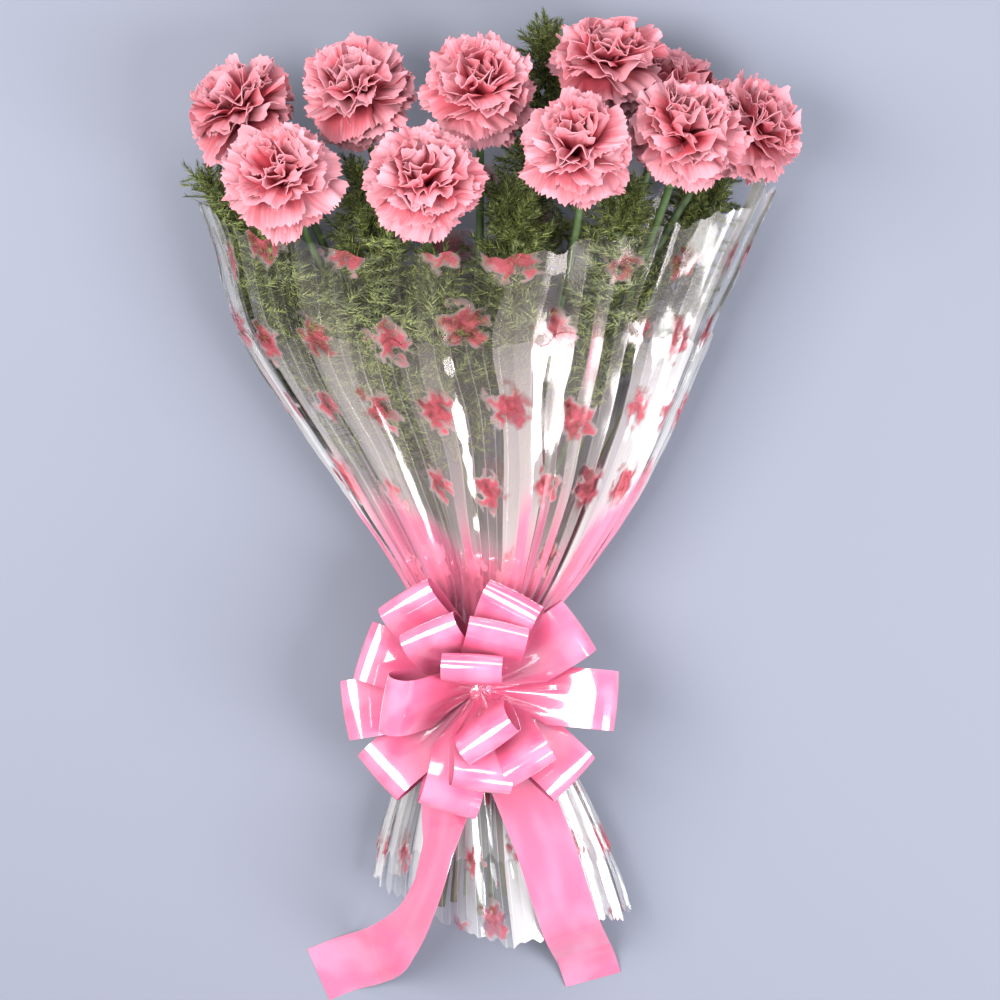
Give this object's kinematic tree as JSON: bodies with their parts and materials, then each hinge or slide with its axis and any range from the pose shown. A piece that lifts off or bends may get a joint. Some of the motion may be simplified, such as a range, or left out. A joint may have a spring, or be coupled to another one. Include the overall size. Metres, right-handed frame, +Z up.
{
  "type": "bunch of carnations",
  "caption": "Bunch of pink carnations with fine fern in a clear printed film wrap, tied with a ribbon bow, lying on its back.",
  "frame": {"origin": "middle of the underside: the middle of the whole bunch's bounding box, on the surface it lies on", "axes": "+Y along the bunch from the cut stems to the flowers, +Z up from the surface to the side with the bow, +X to the right when the bunch is looked down on with the flowers at the top"},
  "size_m": [0.3404, 0.5852, 0.1528],
  "materials": {
    "stem": "satin",
    "petal": "matte",
    "fern": "matte",
    "clear_band": "gloss",
    "film": "gloss",
    "ribbon": "satin"
  },
  "bodies": {
    "root": {"stem_01": "stem", "stem_02": "stem", "stem_03": "stem", "stem_04": "stem", "stem_05": "stem", "stem_06": "stem", "stem_07": "stem", "stem_08": "stem", "stem_09": "stem", "stem_10": "stem", "bloom_01": "petal", "bloom_02": "petal", "bloom_03": "petal", "bloom_04": "petal", "bloom_05": "petal", "bloom_06": "petal", "bloom_07": "petal", "bloom_08": "petal", "bloom_09": "petal", "bloom_10": "petal", "fern_01": "fern", "fern_02": "fern", "fern_03": "fern", "fern_04": "fern", "fern_05": "fern", "fern_06": "fern", "fern_07": "fern", "fern_08": "fern", "fern_09": "fern", "stem_band": "clear_band", "wrap_inner": "film", "wrap_outer": "film", "tie_band": "ribbon", "bow_loops": "ribbon", "ribbon_tail_left": "ribbon", "ribbon_tail_right": "ribbon"}
  },
  "joints": []
}
